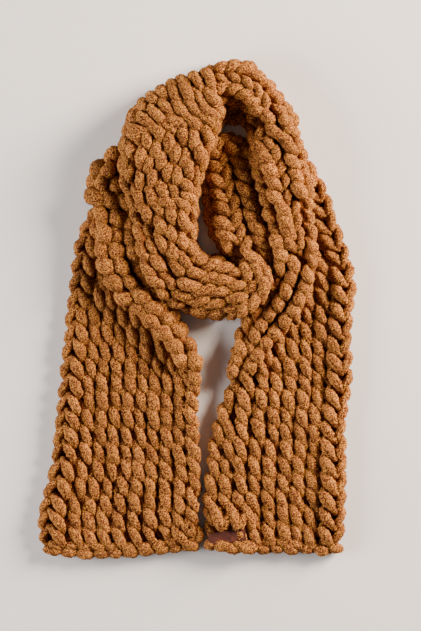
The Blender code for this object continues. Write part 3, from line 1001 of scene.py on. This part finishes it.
@dataclass(frozen=True)
class ChenilleDyeAndShade:
    """Caramel polyester chenille, cut pile, which gives a matt, speckled and slightly velvety face.

    tuft is the width of one tuft of pile in millimetres. The colours go by how each tuft catches
    the light, and the darker gaps between tufts are painted shade. Yarn below deep_to, in
    millimetres from the cloth's middle, fades to painted_hollow_shade, a painted shade for the
    hollows between stitches, and a stitch's tone takes its brightness between darkest and lightest.
    """

    shade: tuple = (0.11, "#54260b")
    body: tuple = (0.42, "#96543c")
    tip: tuple = (0.71, "#ffb24e")
    # painted shade: the dark colour that yarn low in the hollows between stitches fades to
    painted_hollow_shade: str = "#8a461f"
    glint: str = "#f0a858"
    tuft: float = 0.86
    gap_from: float = 0.25
    gap_to: float = 0.8
    gap_share: float = 0.42
    darkest: float = 0.64
    lightest: float = 1.12
    deep_from: float = -4.0
    deep_to: float = 3.0
    deep_share: float = 0.8
    relief: float = 1.2
    relief_strength: float = 0.8

    def material(self) -> Material:
        """Builds the finish.

        Returns:
            The material.
        """
        made, tree, inputs = new_material(
            "caramel chenille", Roughness=0.95, Specular_IOR_Level=0.08,
            Sheen_Weight=0.08, Sheen_Roughness=0.5, Sheen_Tint=linear(self.glint),
        )
        add = partial(node, tree)
        between = partial(add, "ShaderNodeMapRange")
        place = add("ShaderNodeTexCoord").outputs["Object"]
        tufts = add("ShaderNodeTexVoronoi", Vector=place, Scale=1 / (self.tuft * MM))
        reach = tufts.outputs["Distance"]
        own = add("ShaderNodeSeparateColor", Color=tufts.outputs["Color"])
        gap = between(Value=reach, n1=self.gap_from, n2=self.gap_to, n3=0.0, n4=self.gap_share)
        level = add("ShaderNodeMath", operation="SUBTRACT", n0=own, n1=gap)
        colour = set_stops(add("ShaderNodeValToRGB", Fac=level), (self.shade, self.body, self.tip))
        tone, height = (
            add("ShaderNodeAttribute", attribute_name=name).outputs["Fac"] for name in ("tone", "height")
        )
        bright = between(Value=tone, n1=0.0, n2=1.0, n3=self.darkest, n4=self.lightest)
        toned = add("ShaderNodeVectorMath", operation="SCALE", n0=colour, Scale=bright)
        # painted shade: yarn that lies low between the stitches is mixed towards the painted hollow shade
        deep = between(Value=height, n1=self.deep_from, n2=self.deep_to, n3=self.deep_share, n4=0.0)
        mixed = add("ShaderNodeMix", data_type="RGBA", n0=deep, n6=toned, n7=linear(self.painted_hollow_shade))
        tree.links.new(mixed.outputs[2], inputs["Base Color"])
        sunk = add("ShaderNodeMath", operation="MULTIPLY", n0=reach, n1=-1.0)
        bump = add("ShaderNodeBump", Strength=self.relief_strength, Distance=self.relief * MM, Height=sunk)
        tree.links.new(bump.outputs[0], inputs["Normal"])
        return made


@dataclass(frozen=True)
class BackingShade:
    """Painted shade: the same chenille as seen deep between the stitches, coloured dark because little light
    reaches it there.
    """

    # painted shade: dark colours of unlit pile deep in the knit
    dark: tuple = (0.3, "#341306")
    light: tuple = (0.7, "#54260f")
    tuft: float = 2.0

    def material(self) -> Material:
        """Builds the finish.

        Returns:
            The material.
        """
        made, tree, inputs = new_material("chenille backing", Roughness=1.0, Specular_IOR_Level=0.1)
        place = node(tree, "ShaderNodeTexCoord").outputs["Object"]
        tufts = node(tree, "ShaderNodeTexNoise", Vector=place, Scale=1 / (self.tuft * MM), Detail=2.0)
        colour = set_stops(node(tree, "ShaderNodeValToRGB", Fac=tufts), (self.dark, self.light))
        tree.links.new(colour, inputs["Base Color"])
        return made


@dataclass(frozen=True)
class LabelLeather:
    """Vegetable-tanned cowhide, dyed dark brown and pressed flat, with a fine pebbled grain."""

    dark: tuple = (0.3, "#34120a")
    light: tuple = (0.7, "#5a2818")
    grain: float = 1.6
    grain_depth: float = 0.3
    mottle: float = 6.0

    def material(self) -> Material:
        """Builds the finish.

        Returns:
            The material.
        """
        made, tree, inputs = new_material("brown label leather", Roughness=0.7, Specular_IOR_Level=0.3)
        add = partial(node, tree)
        place = add("ShaderNodeTexCoord").outputs["Object"]
        mottle = add("ShaderNodeTexNoise", Vector=place, Scale=1 / (self.mottle * MM), Detail=3.0)
        colour = set_stops(add("ShaderNodeValToRGB", Fac=mottle), (self.dark, self.light))
        tree.links.new(colour, inputs["Base Color"])
        pebbles = add("ShaderNodeTexVoronoi", Vector=place, Scale=1 / (self.grain * MM)).outputs["Distance"]
        bump = add("ShaderNodeBump", Strength=0.5, Distance=self.grain_depth * MM, Height=pebbles)
        tree.links.new(bump.outputs[0], inputs["Normal"])
        return made


@dataclass
class KnittedStretch:
    """One stretch of the band: a thin backing cloth, dark with painted shade, and the yarn of its stitches
    over it.
    """

    stretch: Stretch
    seed: int
    backing_top: float = -3.2
    backing_thickness: float = 3.0
    backing_step: float = 8.0
    backing_floor: float = 0.5

    def backing(self, surface: ClothSurface, dye_and_shade: Material) -> Object:
        """Builds the closed thin cloth behind the stitches, a dark sheet of painted shade that shows in the
        gaps between them.

        Args:
            surface: the cloth's middle surface.
            dye_and_shade: the backing's material, painted shade.

        Returns:
            The piece.
        """
        rows = max(2, round(surface.along[-1] / self.backing_step)) + 1
        columns = 2 * self.stretch.columns + 1
        share = np.linspace(0, 1, columns)
        layers = [
            surface.place(
                np.full(columns, along), lambda station: share * surface.widths[station],
                np.full(columns, lift),
            )[0]
            for lift in (self.backing_top, self.backing_top - self.backing_thickness)
            for along in np.linspace(0, surface.along[-1], rows)
        ]
        points = np.concatenate(layers)
        points[:, 2] = np.maximum(points[:, 2], self.backing_floor)
        half = rows * columns
        faces = []
        for row in range(rows - 1):
            for column in range(columns - 1):
                corner = row * columns + column
                square = (corner, corner + 1, corner + columns + 1, corner + columns)
                faces += [square, tuple(half + index for index in reversed(square))]
        net = np.arange(half).reshape(rows, columns)
        rim = np.concatenate([net[0], net[1:, -1], net[-1, -2::-1], net[-2:0:-1, 0]]).tolist()
        faces += [(there, here, here + half, there + half) for here, there in zip(rim, rim[1:] + rim[:1])]
        mesh = bpy.data.meshes.new(self.stretch.name + "_backing")
        mesh.from_pydata((points * MM).tolist(), [], faces)
        mesh.shade_smooth()
        mesh.materials.append(dye_and_shade)
        return knit_piece(self.stretch.name, mesh)

    def build(self, yarn: ChenilleYarn, backing_shade: Material) -> None:
        """Args:
            yarn: the yarn of its stitches.
            backing_shade: the material of the cloth behind them, painted shade.
        """
        stretch = self.stretch
        yarn_margin = stretch.radius + EDGE_FLUFF
        surface = ClothSurface(stretch, yarn_margin)
        runs = Knitting(surface, self.seed).rows()
        stitches = yarn.sweep(stretch.name, runs, stretch.radius, self.seed)
        backing_margin = min(yarn_margin, stretch.insets[0] + BACKING_INSET)
        backing = self.backing(ClothSurface(stretch, backing_margin), backing_shade)


def triangle_count(piece: Object) -> int:
    """Number of triangles in a piece."""
    return sum(len(face.vertices) - 2 for face in piece.data.polygons)


@dataclass(frozen=True)
class Cover:
    """Where a hem's chain covers the edge of the label: from and to in X, and how much it rises.

    It rises over slope millimetres, and the ply that lies further in keeps only a share of its
    shift there.
    """

    start: float
    end: float
    rise: float
    slope: float = 10.0
    shift_share: float = 0.25

    def rise_at(self, x: float) -> float:
        """How much the chain rises at x."""
        middle, half = (self.start + self.end) / 2, (self.end - self.start) / 2
        return self.rise * float(np.clip((half - abs(x - middle)) / self.slope + 1, 0, 1))


@dataclass
class HemChain:
    """The chain of fat stitches where a tail was cast on or bound off, in two plies.

    out is which way it lies off its section, slant is how far a lump turns over its length, and
    extra holds runs of yarn beside it. second_ply is that ply's start, in lumps, and its shift in.
    A point of a lump is its share of the lump's length, how far out and up it lies, and its
    fullness.
    """

    name: str
    section: Section
    out: float
    seed: int
    extra: tuple
    slant: float = 0.0
    cover: Cover | None = None
    ply_radius: float = 6.0
    lump: float = 18.5
    offset: float = 6.5
    height: float = CLOTH_HALF - 1.2
    second_ply: tuple = (0.4, 7.0)
    points: tuple = (
        (0.00, -1.5, -3.2, 0.80), (0.22, 0.4, 1.6, 1.02), (0.50, 1.2, 2.6, 1.14), (0.78, 0.4, 1.0, 1.00),
    )
    lump_lengths: tuple = (0.8, 1.2)
    lump_sizes: tuple = (0.9, 1.15)
    sway: float = 1.0
    tone: float = 0.5
    tone_spread: float = 0.14
    extra_tone: float = 0.55
    extra_lift: float = 2.0

    def chain(self, random: np.random.Generator, first: float, shift: float) -> list:
        """Lays one ply of the chain.

        Args:
            random: source of its small differences.
            first: place of its first lump, in lumps.
            shift: how far in the whole ply lies, in millimetres.

        Returns:
            The ply's run of yarn.
        """
        outer, width, across, ahead = line_across(np.array(astuple(self.section)))
        run = []
        place = self.ply_radius + first * self.lump
        while place < width - self.ply_radius:
            length = self.lump * random.uniform(*self.lump_lengths)
            size = random.uniform(*self.lump_sizes)
            sway = random.normal(0, self.sway)
            tone = self.tone + self.tone_spread * random.normal()
            for share, outward, lift, fullness in self.points:
                along = min(place + share * length, width - self.ply_radius)
                bowed = self.section.bow * 4 * along / width * (1 - along / width) * self.out
                turned = self.slant * (0.5 - share)
                rise = self.cover.rise_at(float((outer + across * along)[0])) if self.cover else 0.0
                held_back = shift * (self.cover.shift_share if rise > 0 else 1.0)
                out = self.offset - held_back + bowed + outward + sway + turned
                spot = outer + across * along + ahead * self.out * out
                least = self.ply_radius * fullness * size + PILE_ROOM
                height = max(self.height + rise + lift, least)
                run.append((*spot, height, *UPRIGHT, fullness * size, tone, lift))
            place += length
        return run

    def build(self, yarn: ChenilleYarn) -> None:
        """Builds and dresses the hem.

        Args:
            yarn: the scarf's yarn.
        """
        random = np.random.default_rng(self.seed)
        runs = [self.chain(random, 0.0, 0.0), self.chain(random, *self.second_ply)]
        looks = self.extra_tone, self.extra_lift
        runs += [[(*spot, *UPRIGHT, fullness, *looks) for *spot, fullness in extra] for extra in self.extra]
        piece = yarn.sweep(self.name, runs, self.ply_radius, self.seed)
        LOG.info("%s: %d triangles", self.name, triangle_count(piece))


# Runs of yarn beside the chains, each a row of points with its fullness: the knot where the
# left hem's yarn ends, and the lumps that hold down the label's upper edge
KNOT = (
    ((-28, -285, 13, 0.7), (-24, -290, 17, 1.05), (-19, -295, 17, 1.15), (-15, -301, 13, 0.75)),
    ((-17, -279, 14, 0.7), (-13, -284, 17, 0.95), (-8, -288, 17, 1.0), (-4, -293, 14, 0.7)),
    (
        (-13, -281, 22, 0.4), (-10, -277, 23, 0.4), (-6, -279, 23, 0.4), (-6, -284, 22, 0.4),
        (-10, -286, 20, 0.4),
    ),
    ((-16, -300, 10, 0.8), (-10, -303, 13, 1.1), (-4, -306, 12, 1.15), (1, -308, 9, 0.8)),
    ((-1, -280, 9, 0.7), (3, -287, 12, 1.05), (3, -294, 12, 1.1), (0, -301, 10, 0.8)),
)
LABEL_LOOPS = (
    (
        (20, -250, 12, 0.65), (23, -259, 19, 0.95), (27, -268, 22, 1.15), (30, -277, 23, 1.1),
        (33, -284, 22, 0.75),
    ),
    ((43, -262, 15, 0.6), (41, -268, 20, 0.95), (38, -275, 22, 1.05), (35, -283, 22, 0.75)),
    (
        (41, -249, 12, 0.65), (44, -258, 19, 0.95), (48, -267, 22, 1.15), (51, -276, 23, 1.1),
        (54, -283, 22, 0.75),
    ),
    ((63, -262, 15, 0.6), (61, -269, 20, 0.95), (58, -276, 22, 1.05), (56, -283, 22, 0.75)),
    (
        (60, -248, 12, 0.65), (64, -258, 17, 1.0), (68, -268, 18, 1.15), (71, -278, 17, 1.05),
        (73, -287, 13, 0.75),
    ),
)


@dataclass
class Label:
    """The bare leather label by the right hem, in millimetres."""

    length: float = 48.0
    width: float = 15.0
    thickness: float = 2.0
    turn_degrees: float = 8.0
    worn_edge: float = 0.7
    worn_steps: int = 3

    def build(self, leather: Material) -> None:
        """Builds and dresses the label.

        Args:
            leather: its material.
        """
        low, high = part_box("label")
        mesh = bpy.data.meshes.new("label_leather")
        mesh.from_pydata(
            [(x * self.length / 2 * MM, y * self.width / 2 * MM, z * self.thickness / 2 * MM)
             for x in (-1, 1) for y in (-1, 1) for z in (-1, 1)],
            [],
            [(0, 1, 3, 2), (4, 6, 7, 5), (0, 4, 5, 1), (2, 3, 7, 6), (0, 2, 6, 4), (1, 5, 7, 3)],
        )
        turn = Matrix.Rotation(math.radians(self.turn_degrees), 4, "Z")
        mesh.transform(Matrix.Translation((low + high) / 2) @ turn)
        mesh.materials.append(leather)
        made = add_object("label_leather", mesh)
        bevel = made.modifiers.new("worn edges", "BEVEL")
        bevel.width = self.worn_edge * MM
        bevel.segments = self.worn_steps
        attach(made, BODY)
        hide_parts("label")
        LOG.info("label: %d faces", len(mesh.polygons))


@dataclass(frozen=True)
class SoftLight:
    """A square soft light that faces the scarf: its place and side in metres, and its watts."""

    name: str
    place: tuple
    side: float
    power: float
    colour: str

    def build(self) -> None:
        """Adds the light."""
        lamp = bpy.data.lights.new(self.name, "AREA")
        lamp.size = self.side
        lamp.energy = self.power
        lamp.color = linear(self.colour)[:3]
        made = add_object(self.name, lamp)
        made.location = self.place
        made.rotation_euler = (-Vector(self.place)).to_track_quat("-Z", "Y").to_euler()


@dataclass(frozen=True)
class Studio:
    """A plain pale floor, soft light and the camera straight above, in metres."""

    camera_place: tuple = (0.0182, -0.0065, 12.0)
    sensor: float = 36.0
    frame_height: float = 0.8203
    view_end: float = 100.0
    floor_side: float = 40.0
    floor_colour: str = "#f4f0ed"
    window: SoftLight = SoftLight("window", (2.4, 1.15, 1.05), 1.25, 372, "#ffeedd")
    room: SoftLight = SoftLight("room", (-2.5, -0.3, 0.95), 1.8, 150, "#fbf8f8")
    glow_colour: str = "#eceae8"
    glow_strength: float = 0.1

    def floor(self) -> None:
        """Adds the floor."""
        half = self.floor_side / 2
        mesh = bpy.data.meshes.new("floor")
        corners = [(-half, -half, 0), (half, -half, 0), (half, half, 0), (-half, half, 0)]
        mesh.from_pydata(corners, [], [(0, 1, 2, 3)])
        paint, _, inputs = new_material("pale floor", Roughness=0.8)
        inputs["Base Color"].default_value = linear(self.floor_colour)
        mesh.materials.append(paint)
        add_object("floor", mesh)

    def light(self) -> None:
        """Adds the lights and the surroundings' glow."""
        self.window.build()
        self.room.build()
        world = bpy.data.worlds.new("room")
        world.use_nodes = True
        glow = world.node_tree.nodes["Background"]
        glow.inputs["Color"].default_value = linear(self.glow_colour)
        glow.inputs["Strength"].default_value = self.glow_strength
        bpy.context.scene.world = world

    def camera(self) -> None:
        """Adds the camera and makes it the scene's."""
        lens = bpy.data.cameras.new("camera")
        lens.sensor_width = self.sensor
        lens.lens = self.sensor * self.camera_place[2] / self.frame_height
        lens.clip_end = self.view_end
        made = add_object("camera", lens)
        made.location = self.camera_place
        bpy.context.scene.camera = made

    def build(self) -> None:
        """Adds all of it."""
        self.floor()
        self.light()
        self.camera()


def main() -> None:
    """Builds the scarf and its studio."""
    logging.basicConfig(level=logging.INFO, format="%(message)s")
    Studio().build()
    yarn = ChenilleYarn(ChenilleDyeAndShade().material())
    backing_shade = BackingShade().material()
    for number, stretch in enumerate(STRETCHES):
        KnittedStretch(stretch, seed=YARN_SEED + number).build(yarn, backing_shade)
    ends = {stretch.name: stretch.sections for stretch in STRETCHES}
    left = HemChain("left_hem", ends["left_tail"][0], out=-1, seed=31, extra=KNOT)
    right = HemChain(
        "right_hem", ends["right_tail"][-1], out=1, seed=32, extra=LABEL_LOOPS, slant=6.0,
        cover=Cover(start=8, end=68, rise=6.5),
    )
    for hem in (left, right):
        hem.build(yarn)
    Label().build(LabelLeather().material())
    bpy.context.view_layer.update()


if __name__ == "__main__":
    main()
